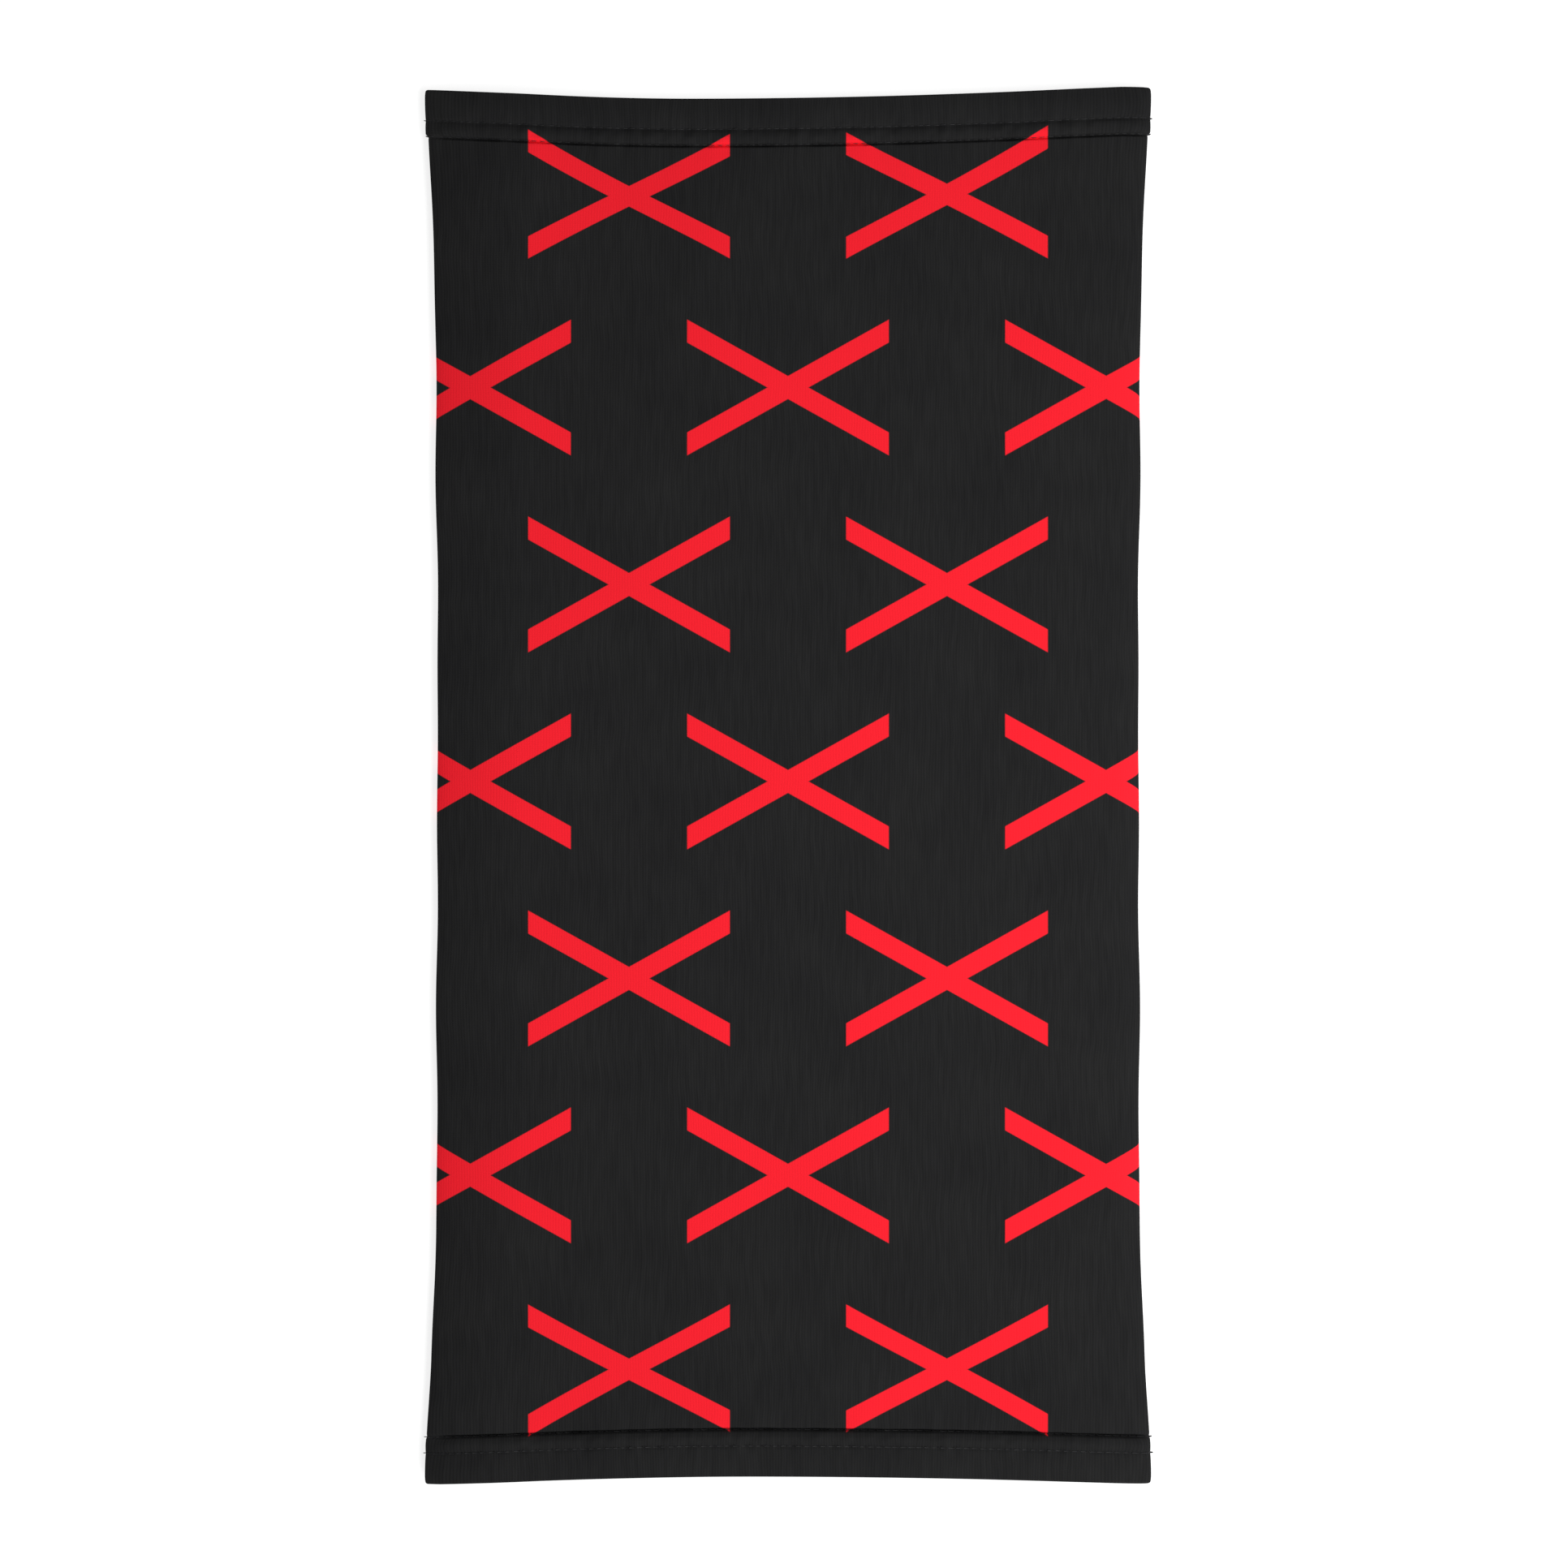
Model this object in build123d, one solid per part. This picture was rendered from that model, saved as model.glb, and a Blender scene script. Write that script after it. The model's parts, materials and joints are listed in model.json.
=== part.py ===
from build123d import *
import math
import os

# Neck gaiter: a seamed tube of stretch jersey, lying relaxed on its back.
# X runs across the tube, +Y to the top hem, +Z up. The origin is under the middle of the tube,
# on the surface that it lies on. All sizes are millimetres.
#
# The tube is one printed panel, closed by an overlocked seam down the middle of the back. Both
# ends are turned in once and held by a two-needle cover stitch: two needle threads bedded in the
# outer face, and a looper thread laid between them inside.
#
# Cloth bends everywhere and solids do not, so the panel is cut along twelve bend lines: two at each
# side fold, and four more on the front and on the back, placed so that the tube opens from flat to
# an octagon with equal sides. The front is also cut down its middle, where the two chains of strips
# meet. Every strip keeps its place in the panel, with its share of both hems and their stitching.

# ---- overall sizes ----
tube_length = 490.0  # hem fold to hem fold
waist_width = 246.0  # lying flat, at mid length
hem_width = 255.0  # lying flat, at the hems
loft = 8.0  # clear height between the front and back cloth

# ---- cloth and hems ----
cloth = 0.7  # one layer of jersey
ply_gap = 0.1  # between the outer layer and the turned-in one
first_row = 10.8  # hem fold to the first row of stitches
row_gauge = 5.6  # between the two needles
edge_past_row = 1.0  # second row to the raw edge of the turned-in cloth
stitch_thread = 0.3  # needle thread, across: it beds its full depth into the cloth
crease_width = 0.5  # of the crease that each needle thread pulls into the cloth
looper_layer = 0.25  # the looper thread's lattice, in thickness
looper_overhang = 0.4  # how far the lattice reaches past each needle row, within the turned-in cloth

# ---- back seam ----
seam_allowance = 6.0  # width of the two layers turned in
needle_from_seam = 1.3
overlock_wrap = 0.35  # how far the looper threads stand past the raw edges

# ---- gaps between strips ----
middle_gap = 0.3  # between the left and right strips that meet in the middle
bend_gap = 0.2  # left between two strips when a bend line has turned as far as it does
corner_gap = 0.8  # between a flat strip's outer edge and the side cloth
hem_corner_gap = 3.2  # the same, for the turned-in layer and its thread

# ---- worked out ----
half_length = tube_length / 2
height = loft + 2 * cloth
sagitta = (hem_width - waist_width) / 2
side_radius = (half_length**2 + sagitta**2) / (2 * sagitta)
side_centre = waist_width / 2 + side_radius
fold_line = waist_width / 2 + sagitta / 3 - cloth / 2  # the side folds' bend lines, along X
back_axis = cloth / 2
front_axis = height - cloth / 2
girth = 4 * fold_line + 2 * (front_axis - back_axis)
inner_bend = girth / 16
outer_bend = 3 * girth / 16
turn_at_bend = 45  # degrees, as far as an inner or outer bend line turns
turned_low = cloth + ply_gap
turned_high = turned_low + cloth
lattice_high = turned_high + looper_layer
fold_radius = turned_high / 2
wall_end = half_length - fold_radius  # where the flat layers end and the hem's fold begins
needle_rows = (first_row, first_row + row_gauge)
hem_depth = needle_rows[1] + edge_past_row
lattice_y = (
    half_length - needle_rows[1] - looper_overhang,
    half_length - needle_rows[0] + looper_overhang,
)

# The flat strips of one quarter of the tube, by the bend lines at their ends. The outermost one
# ends at the tube's side.
flat_strips = {
    "centre": (0.0, inner_bend),
    "inner": (inner_bend, outer_bend),
    "outer": (outer_bend, None),
}


def block(x, y, z):
    """A box from its low and high limits on each axis."""
    size = [high - low for low, high in (x, y, z)]
    middle = [(high + low) / 2 for low, high in (x, y, z)]
    return Pos(*middle) * Box(*size)


def ring(outer, inner, length):
    """The cloth that goes round a fold, as a tube along Z."""
    return Cylinder(outer, length) - Cylinder(inner, length)


def side_at(y, depth):
    """How far from the middle the side cloth is at y, at a depth in from its outer face."""
    return side_centre - math.sqrt((side_radius + depth) ** 2 - y**2)


def crease_y(row):
    """The limits along Y of the crease under a row of stitches."""
    middle = half_length - row
    return middle - crease_width / 2, middle + crease_width / 2


# ---- flat strips: built lying on the floor, to the right of the middle ----
def end_gap(limit, reach):
    """How far a layer is drawn back from a bend line that its inner face is reach above."""
    if limit == 0.0:
        return middle_gap / 2
    return reach * math.tan(math.radians(turn_at_bend / 2)) + bend_gap


def flat_span(strip, y, reach, side_inset):
    """A flat strip's limits along X at y."""
    low, high = flat_strips[strip]
    x_low = low + end_gap(low, reach)
    x_high = side_at(y, side_inset) if high is None else high - end_gap(high, reach)
    return x_low, x_high


def flat_layer(strip, y, depth, side_inset):
    """A layer of a flat strip, between two heights."""
    reach = depth[1] - cloth / 2
    x = flat_span(strip, half_length, reach, side_inset)
    layer = block(x, y, depth)
    if flat_strips[strip][1] is not None:
        return layer
    return layer - Pos(side_centre, 0, 0) * Cylinder(side_radius + side_inset, 4 * height)


def flat_hem(strip):
    """The cloth turned in at the top of a flat strip, with its fold."""
    inset = turned_high + hem_corner_gap
    raw_edge = half_length - hem_depth
    turned = flat_layer(strip, (raw_edge, wall_end), (turned_low, turned_high), inset)
    x = flat_span(strip, wall_end, turned_high - cloth / 2, inset)
    fold = Rot(0, 90, 0) * ring(fold_radius, ply_gap / 2, x[1] - x[0])
    fold = Pos(sum(x) / 2, wall_end, fold_radius) * fold
    return turned + (fold & block(x, (wall_end, half_length), (0, turned_high)))


def flat_cloth(strip):
    """A flat strip of the panel, with both hems turned in and the stitches' creases."""
    body = flat_layer(strip, (-wall_end, wall_end), (0, cloth), cloth + corner_gap)
    for row in needle_rows:
        crease = block((0, hem_width), crease_y(row), (0, stitch_thread))
        body = body - crease - mirror(crease, Plane.XZ)
    hem = flat_hem(strip)
    return body + hem + mirror(hem, Plane.XZ)


def flat_stitching(strip):
    """The top hem's two needle threads and its looper thread, in a flat strip."""
    pieces = []
    for row in needle_rows:
        y = half_length - row
        x = flat_span(strip, y, stitch_thread - cloth / 2, cloth + corner_gap)
        thread = Rot(0, 90, 0) * Cylinder(stitch_thread / 2, x[1] - x[0])
        pieces.append(Pos(sum(x) / 2, y, stitch_thread / 2) * thread)
    inset = lattice_high + hem_corner_gap
    pieces.append(flat_layer(strip, lattice_y, (turned_high, lattice_high), inset))
    return pieces


# ---- side strips: built for the right-hand side ----
def side_height(depth):
    """The limits along Z of a layer of the side cloth whose inner face is at a depth."""
    reach = depth - cloth / 2 + bend_gap
    return back_axis + reach, front_axis - reach


def side_layer(y, depth):
    """A layer of the side cloth: a band that follows the waisted side."""
    z = side_height(depth[1])
    band = Cylinder(side_radius + depth[1], z[1] - z[0])
    band -= Cylinder(side_radius + depth[0], z[1] - z[0])
    return Pos(side_centre, 0, sum(z) / 2) * band & block((0, hem_width / 2), y, z)


def side_hem():
    """The cloth turned in at the top of a side strip, with its fold."""
    turned = side_layer((half_length - hem_depth, wall_end), (turned_low, turned_high))
    z = side_height(turned_high)
    fold = ring(fold_radius, ply_gap / 2, z[1] - z[0])
    fold = Pos(side_at(wall_end, fold_radius), wall_end, sum(z) / 2) * fold
    return turned + (fold & block((0, hem_width), (wall_end, half_length), z))


def side_cloth():
    """A side strip of the panel, with both hems turned in and the stitches' creases."""
    body = side_layer((-wall_end, wall_end), (0, cloth))
    for row in needle_rows:
        floor_of_crease = side_at(half_length - row, stitch_thread)
        crease = block((floor_of_crease, hem_width), crease_y(row), (0, height))
        body = body - crease - mirror(crease, Plane.XZ)
    hem = side_hem()
    return body + hem + mirror(hem, Plane.XZ)


def side_stitching():
    """The top hem's two needle threads and its looper thread, in a side strip."""
    z = side_height(stitch_thread)
    pieces = []
    for row in needle_rows:
        y = half_length - row
        thread = Cylinder(stitch_thread / 2, z[1] - z[0])
        pieces.append(Pos(side_at(y, stitch_thread / 2), y, sum(z) / 2) * thread)
    pieces.append(side_layer(lattice_y, (turned_high, lattice_high)))
    return pieces


# ---- back seam: both edges of the panel are laid to the left, inside ----
lower_looper = (cloth, cloth + looper_layer)
left_allowance = (lower_looper[1], lower_looper[1] + cloth)
right_allowance = (left_allowance[1], left_allowance[1] + cloth)
upper_looper = (right_allowance[1], right_allowance[1] + looper_layer)
seam_half = half_length - hem_depth - middle_gap  # the seam is laid flat inside the hems
seam_y = (-seam_half, seam_half)


def left_edge():
    """The left edge of the panel, folded back over itself."""
    radius = left_allowance[1] / 2
    x = -middle_gap / 2 - radius
    turn = Rot(90, 0, 0) * ring(radius, radius - cloth, 2 * seam_half)
    turn = Pos(x, 0, radius) * turn & block((x, 0), seam_y, (0, left_allowance[1]))
    return turn + block((-seam_allowance, x), seam_y, left_allowance)


def right_edge():
    """The right edge of the panel, turned up and laid over the left one."""
    x = middle_gap / 2
    riser = block((x, x + cloth), seam_y, (0, right_allowance[1]))
    return riser + block((-seam_allowance, x + cloth), seam_y, right_allowance)


def seam_threads():
    """The overlock stitch: a needle thread, and a looper thread on each face."""
    x = (-seam_allowance - overlock_wrap, -needle_from_seam - stitch_thread)
    needle = Rot(90, 0, 0) * Cylinder(stitch_thread / 2, 2 * seam_half)
    needle_z = right_allowance[1] + stitch_thread / 2
    return {
        "seam_lower_looper_thread": block(x, seam_y, lower_looper),
        "seam_upper_looper_thread": block(x, seam_y, upper_looper),
        "seam_needle_thread": Pos(-needle_from_seam, 0, needle_z) * needle,
    }


# ---- the whole tube ----
def placed(shape, face, side):
    """A quarter's shape, carried to its own face and side of the tube."""
    if face == "front":
        shape = mirror(shape, Plane.XY.offset(height / 2))
    return mirror(shape, Plane.YZ) if side == "left" else shape


def strip_nodes(name, cloth_shape, threads, face, side):
    """A strip's cloth, and its share of the stitching at both ends."""
    top = [placed(thread, face, side) for thread in threads]
    bottom = [mirror(thread, Plane.XZ) for thread in top]
    return {
        f"{name}_cloth": placed(cloth_shape, face, side),
        f"{name}_top_stitching": Compound(children=[thread.solid() for thread in top]),
        f"{name}_bottom_stitching": Compound(children=[thread.solid() for thread in bottom]),
    }


def build():
    """Every node of the gaiter, by name."""
    nodes = {}
    for strip in flat_strips:
        shape = flat_cloth(strip)
        threads = flat_stitching(strip)
        for face in ("back", "front"):
            for side in ("left", "right"):
                name = f"{face}_{strip}_{side}"
                nodes.update(strip_nodes(name, shape.solid(), threads, face, side))
    shape = side_cloth()
    threads = side_stitching()
    for side in ("left", "right"):
        nodes.update(strip_nodes(f"side_{side}", shape.solid(), threads, "back", side))
    nodes["back_centre_left_cloth"] += left_edge()
    nodes["back_centre_right_cloth"] += right_edge()
    nodes.update(seam_threads())
    return nodes


os.makedirs("parts", exist_ok=True)
for node, shape in build().items():
    export_step(shape, f"parts/{node}.step")
    print(node, round(shape.volume, 1))
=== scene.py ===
import json
import math

import bmesh
import bpy
import numpy as np
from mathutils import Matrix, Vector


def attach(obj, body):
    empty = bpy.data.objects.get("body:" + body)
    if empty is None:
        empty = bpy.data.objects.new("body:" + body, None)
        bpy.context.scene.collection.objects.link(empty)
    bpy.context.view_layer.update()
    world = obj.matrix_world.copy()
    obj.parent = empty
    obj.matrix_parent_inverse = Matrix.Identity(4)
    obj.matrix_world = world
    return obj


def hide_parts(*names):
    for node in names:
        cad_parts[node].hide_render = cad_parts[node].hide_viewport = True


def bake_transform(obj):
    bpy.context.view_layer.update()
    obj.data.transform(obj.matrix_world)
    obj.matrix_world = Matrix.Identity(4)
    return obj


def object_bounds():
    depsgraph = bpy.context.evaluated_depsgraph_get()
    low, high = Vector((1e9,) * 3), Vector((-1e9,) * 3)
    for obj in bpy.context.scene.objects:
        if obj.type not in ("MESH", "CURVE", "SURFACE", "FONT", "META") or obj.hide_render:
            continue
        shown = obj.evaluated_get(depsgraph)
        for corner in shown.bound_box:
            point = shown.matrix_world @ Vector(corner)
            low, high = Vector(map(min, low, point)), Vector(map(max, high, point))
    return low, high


# A neck gaiter lying flat: one printed jersey panel sewn into a tube, hemmed at both ends.
# Everything is in millimetres until a mesh is made. X is across, +Y the top hem, +Z up.

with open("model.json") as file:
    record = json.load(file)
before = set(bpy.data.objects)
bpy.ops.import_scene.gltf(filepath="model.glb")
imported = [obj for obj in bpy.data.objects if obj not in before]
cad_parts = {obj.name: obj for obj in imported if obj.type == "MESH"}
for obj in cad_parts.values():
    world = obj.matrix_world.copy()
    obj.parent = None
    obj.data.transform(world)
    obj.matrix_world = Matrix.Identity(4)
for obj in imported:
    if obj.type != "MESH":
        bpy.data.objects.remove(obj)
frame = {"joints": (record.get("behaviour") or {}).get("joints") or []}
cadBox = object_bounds()
mm = 0.001
halfLength = cadBox[1].y / mm
loftHeight = cadBox[1].z / mm
midHeight = loftHeight / 2
hingeAt = {j["child"]: [c / mm for c in j["pos_m"]] for j in frame["joints"]}
innerBend = hingeAt["back_inner_right"][0]
outerBend = hingeAt["back_outer_right"][0]

view = bpy.context.scene.view_settings
view.view_transform = "Standard"
view.look = "None"
view.exposure = 0.0


def smooth(value, low, high):
    t = np.clip((value - low) / (high - low), 0.0, 1.0)
    return t * t * (3 - 2 * t)


def bump(value, centre, width):
    return np.exp(-(((value - centre) / width) ** 2))


def ripple(along, wavelengths, seed):
    # an uneven wave: a few sines with seeded phases
    phases = np.random.default_rng(seed).uniform(0, 2 * math.pi, len(wavelengths))
    waves = [np.sin(2 * math.pi * along / w + p) for w, p in zip(wavelengths, phases)]
    return sum(waves) / len(wavelengths) ** 0.5


tube = {
    "cloth": 0.7,
    "plyGap": 0.1,
    "waistHalf": 123.1,  # half the width at mid length
    "flare": 3.1,  # how much further out the body stands where it meets a hem
    "flarePower": 4.0,
    "bottomFlare": 0.9,  # the bottom hem is eased on, so the cloth spreads to meet it
    "bottomFlareFrom": 200.0,
    "hemHalf": 127.3,
    "hemSwell": 0.15,
    "cornerRounding": 0.3,
    "cornerReach": 2.6,
    "stepOut": (-0.9, 0.6),  # the side steps out to the hem between these, either side of its second row
    "edgeWander": 0.3,
    "edgeWaves": (97.0, 61.0, 173.0),
    # for each face and side: where its roll starts, and how full it is, with 2 for an ellipse
    "rollFrom": {("front", -1): 94.0, ("front", 1): 107.9, ("back", -1): 107.9, ("back", 1): 107.9},
    "rollShape": {("front", -1): 1.45, ("front", 1): 2.9, ("back", -1): 3.4, ("back", 1): 3.4},
    "cutAt": 108.0,  # where the outer strips end and the cloth starts to turn over
    "rollLength": 12.0,  # about how far the cloth goes from there to the side's middle
    "sag": 1.2,  # the front sinks this much between its side folds
    "sagWaves": (260.0, 190.0),
    "drape": 0.4,  # slow waves over the front, this high
    "wavesAcross": (88.0, 141.0),
    "wavesAlong": (133.0, 211.0),
    "columnStep": 1.35,
    "rollColumns": 24,
    "seamPinch": 0.5,  # how far the cloth dips into the back seam
    "seed": 11,
}
hem = {
    "firstRow": 10.8,  # from the fold to the first row of stitches
    "secondRow": 16.4,
    "rawEdge": 17.4,
    "puff": 0.45,  # how far the hem stands proud of its stitches
    "ridge": 0.6,
    "dimple": 0.3,  # how deep the first row pulls in, and the second
    "groove": 1.2,
    "grooveWidth": 0.5,
    "bottomGroove": 1.0,  # how much more the bottom hem's second row pulls in
    "bottomSlope": 0.8,  # the bottom hem slopes down to that row by this much
    "slopeWidth": 2.2,
    "grooveWander": 0.25,
    "grooveWaves": (31.0, 17.0, 9.5),  # wavelengths of the uneven pull, here and below
    "dimpleWidth": 0.6,
    "dimpleWander": 0.5,
    "dimpleWaves": (23.0, 11.0, 6.1),
    "underShare": 0.2,  # how much of the relief shows on the back, which rests on its hems
    "recess": 0.4,
    "recessReach": 9.0,  # the body is back at its own level about this far past the hem
    "pucker": 0.25,
    "firstRowWaves": (7.3, 5.2, 11.9),
    "ridgeWaves": (8.7, 6.4, 15.1),
    "pullWaves": (13.0, 19.0, 27.0),
    "atSides": 0.15,  # how much of all this there is where the hem turns over at the sides
    "topDip": {"depth": 4.0, "at": -30.0, "leftRun": 108.0, "rightRun": 147.0},
    "bottomDip": {"depth": 2.9, "at": -11.0, "leftRun": 111.0, "rightRun": 150.0},
    "dipFades": (182.0, 233.0),  # the ends' hollow has died out by the first of these
    "seed": 23,
}
foldRadius = tube["cloth"] + tube["plyGap"] / 2
flapDepth = 2 * tube["cloth"] + tube["plyGap"]


def halfWidth(y):
    # waisted body, with the hems standing out a little
    fromFold = halfLength - np.abs(y)
    reach = halfLength - hem["secondRow"]
    body = tube["waistHalf"] + tube["flare"] * np.abs(y / reach) ** tube["flarePower"]
    body = body + tube["bottomFlare"] * smooth(-y, tube["bottomFlareFrom"], reach)
    body = body + tube["edgeWander"] * ripple(y, tube["edgeWaves"], tube["seed"])
    rounding = tube["cornerRounding"] * np.clip(1 - fromFold / tube["cornerReach"], 0, 1) ** 2
    swell = tube["hemSwell"] * np.cos(fromFold / hem["secondRow"] * math.pi)
    hemmed = tube["hemHalf"] - rounding + swell
    inner, outer = tube["stepOut"]
    inHem = 1 - smooth(fromFold, hem["secondRow"] + inner, hem["secondRow"] + outer)
    return body + (hemmed - body) * inHem


def hollow(x, dip):
    run = np.where(x > dip["at"], dip["rightRun"], dip["leftRun"])
    return dip["depth"] * np.cos(np.clip((x - dip["at"]) / run, -1, 1) * math.pi / 2)


def endHollow(x, y):
    dip = np.where(y > 0, hollow(x, hem["topDip"]), -hollow(x, hem["bottomDip"]))
    return dip * smooth(np.abs(y), *hem["dipFades"])


def hemRelief(e, around, isFront, isBottom):
    # how far in from the plain tube: the hem puffs up between its stitches, and each row pulls it in
    seed = hem["seed"]
    uneven = 1 - smooth(np.abs(around), 230.0, 238.0)
    puff = np.sin(np.clip((e - 1.0) / (hem["firstRow"] - 1.6), 0, 1) * math.pi)
    ridge = np.sin(np.clip((e - hem["firstRow"] - 0.5) / 4.9, 0, 1) * math.pi)
    past = np.clip(e - hem["secondRow"], 0, None)
    recess = hem["recess"] * smooth(e, hem["secondRow"] - 0.4, hem["secondRow"] + 0.4)
    recess = recess * np.exp(-past / hem["recessReach"])
    depth = recess - hem["puff"] * puff - hem["ridge"] * ridge
    grooved = 1 + hem["grooveWander"] * uneven * ripple(around, hem["grooveWaves"], seed)
    dimpled = 1 + hem["dimpleWander"] * uneven * ripple(around, hem["dimpleWaves"], seed + 1)
    groove = hem["groove"] + hem["bottomGroove"] * isBottom
    grooveAt = hem["secondRow"] + 0.2
    depth = depth + groove * bump(e, grooveAt, hem["grooveWidth"]) * grooved
    sloping = isBottom * smooth(grooveAt - e, -0.6, 0.2)
    depth = depth + hem["bottomSlope"] * sloping * bump(e, grooveAt, hem["slopeWidth"])
    depth = depth + hem["dimple"] * bump(e, hem["firstRow"], hem["dimpleWidth"]) * dimpled
    # small puckers beside the first row, on the ridge, and where the body leaves the hem
    byFirst = bump(e, hem["firstRow"], 2.4) * ripple(around, hem["firstRowWaves"], seed + 2)
    onRidge = bump(e, 14.2, 1.7) * ripple(around, hem["ridgeWaves"], seed + 3)
    pulls = smooth(past, 0, 1.5) * np.exp(-past / 11) * ripple(around, hem["pullWaves"], seed + 4)
    depth = depth + hem["pucker"] * uneven * (byFirst + onRidge + 0.8 * pulls)
    fromSide = np.abs(np.abs(around) - tube["cutAt"] - tube["rollLength"])
    depth = depth * (hem["atSides"] + (1 - hem["atSides"]) * smooth(fromSide, 2.0, 8.0))
    under = hem["underShare"] * np.clip(depth + hem["ridge"], 0, None) * np.exp(-past / 20)
    return np.where(isFront, depth, under)


def frontDrape(x, y):
    # the front lies between its side folds, a little sunk and not quite flat
    inside = 1 - smooth(np.abs(x), 62.0, tube["cutAt"])
    sunk = -tube["sag"] * inside * (0.8 + 0.2 * ripple(y, tube["sagWaves"], tube["seed"] + 1))
    waves = ripple(x + 0.35 * y, tube["wavesAcross"], tube["seed"] + 2)
    waves = waves * ripple(y - 0.2 * x, tube["wavesAlong"], tube["seed"] + 3)
    return sunk + tube["drape"] * waves * (1 - smooth(np.abs(x), 85.0, tube["cutAt"]))


def stationsFrom(places):
    # places round the tube: (back or front, side, how far out, how far round the roll)
    keys = [(face, side) for face, side, flatX, turn in places]
    return {
        "front": np.array([p[0] == "front" for p in places])[:, None],
        "side": np.array([float(p[1]) for p in places])[:, None],
        "flatX": np.array([p[2] for p in places])[:, None],
        "turn": np.array([p[3] for p in places])[:, None],
        "start": np.array([tube["rollFrom"][k] for k in keys])[:, None],
        "shape": np.array([tube["rollShape"][k] for k in keys])[:, None],
    }


def tubeSurface(at, y, depth):
    # points of the cloth for every station and row, depth millimetres in from its outer face
    y, depth = y[None, :], depth[None, :]
    side, start, shape, rolling = at["side"], at["start"], at["shape"], at["turn"] > 0
    out = at["flatX"] + tube["rollLength"] * at["turn"]
    halfRound = tube["cutAt"] + tube["rollLength"]
    around = side * np.where(at["front"], out, 2 * halfRound - out)
    total = depth + hemRelief(halfLength - np.abs(y), around, at["front"], y < 0)
    reach = halfWidth(y) - total - start
    cutAngle = np.arccos(np.clip((tube["cutAt"] - start) / reach, 0, 1) ** (shape / 2))
    angle = cutAngle * (1 - at["turn"]) ** 1.35
    ratio = np.clip((at["flatX"] - start) / reach, 0, 1)
    x = side * np.where(rolling, start + reach * np.cos(angle) ** (2 / shape), at["flatX"])
    rise = np.where(rolling, np.sin(angle) ** (2 / shape), (1 - ratio**shape) ** (1 / shape))
    up = (midHeight - total) * rise
    z = np.where(at["front"], midHeight + up + np.where(rolling, 0, frontDrape(x, y)), midHeight - up)
    return np.stack([x, y - endHollow(x, y), z], axis=-1)


def roundTheTube():
    # from the back seam up the right side, over the front, down the left and back to the seam
    stripEdge, step = 2 * innerBend, tube["columnStep"]
    flat = np.linspace(0, stripEdge, int(stripEdge / step) + 1)
    outer = np.linspace(stripEdge, tube["cutAt"], int((tube["cutAt"] - stripEdge) / step) + 1)
    turn = np.linspace(0, 1, tube["rollColumns"] + 1)
    bySeam = np.concatenate([[0, 0.3, 0.7], flat[1:]])  # closer together where the seam pinches the cloth
    places = []
    for side in (1, -1):
        back = [("back", side, x, 0.0) for x in np.concatenate([bySeam, outer[1:]])]
        back += [("back", side, tube["cutAt"], t) for t in turn[1:]]
        front = [("front", side, tube["cutAt"], t) for t in turn[::-1][1:-1]]
        front += [("front", side, x, 0.0) for x in np.concatenate([flat, outer[1:]])[::-1]]
        places += (back + front) if side == 1 else (back + front)[::-1][1:]
    return places


def ribbonRows():
    # from one raw edge of the panel to the other: y and depth of the printed face, y and depth of
    # the white face, and the way along the cloth. Rows are closest where stitches pull the cloth in.
    inner = foldRadius - tube["cloth"]
    half = []
    toFirstRow, toRawEdge = np.linspace(foldRadius, 9.6, 13), np.linspace(10.0, 15.4, 14)
    inHem = np.concatenate([toFirstRow, toRawEdge, np.linspace(15.6, hem["rawEdge"], 10)])
    for e in inHem[::-1]:
        half.append((e, flapDepth, e, flapDepth - tube["cloth"], -e))
    for a in np.linspace(0, math.pi, 9)[1:-1]:
        across, lift = math.sin(a), math.cos(a)
        half.append((
            foldRadius * (1 - across), foldRadius * (1 + lift),
            foldRadius - inner * across, foldRadius + inner * lift,
            foldRadius * (2 * a / math.pi - 1),
        ))
    for e in inHem:
        half.append((e, 0.0, e, tube["cloth"], e))
    for e in hem["rawEdge"] + np.array([0.2, 0.45, 0.9, 1.5, 2.2, 3.0, 4.0, 5.2, 6.6, 8.2, 10.0]):
        half.append((e, 0.0, e, tube["cloth"], e))
    bottom = [(e - halfLength, d, f - halfLength, g, w - halfLength) for e, d, f, g, w in half]
    last = -bottom[-1][0]
    body = [(y, 0.0, y, tube["cloth"], y) for y in np.linspace(-last, last, 190)[1:-1]]
    top = [(-y, d, -w, g, -v) for y, d, w, g, v in bottom[::-1]]
    return np.array(bottom + body + top)


def faceNormals(points, outward):
    # worked out on the whole tube, so that the pieces it is divided into shade as one
    normal = np.cross(np.gradient(points, axis=1), np.gradient(points, axis=0)) * outward
    return normal / np.maximum(np.linalg.norm(normal, axis=-1, keepdims=True), 1e-9)


places = roundTheTube()
stations = stationsFrom(places)
rows = ribbonRows()
printedFace = tubeSurface(stations, rows[:, 0], rows[:, 1])
whiteFace = tubeSurface(stations, rows[:, 2], rows[:, 3])
isBack = ~stations["front"]
inSeam = isBack * tube["seamPinch"] * bump(stations["flatX"], 0.0, 0.55)
printedFace[..., 2] += inSeam * (rows[:, 1] < 0.3)[None, :]
printedNormal = faceNormals(printedFace, 1.0)
whiteNormal = faceNormals(whiteFace, -1.0)

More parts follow.
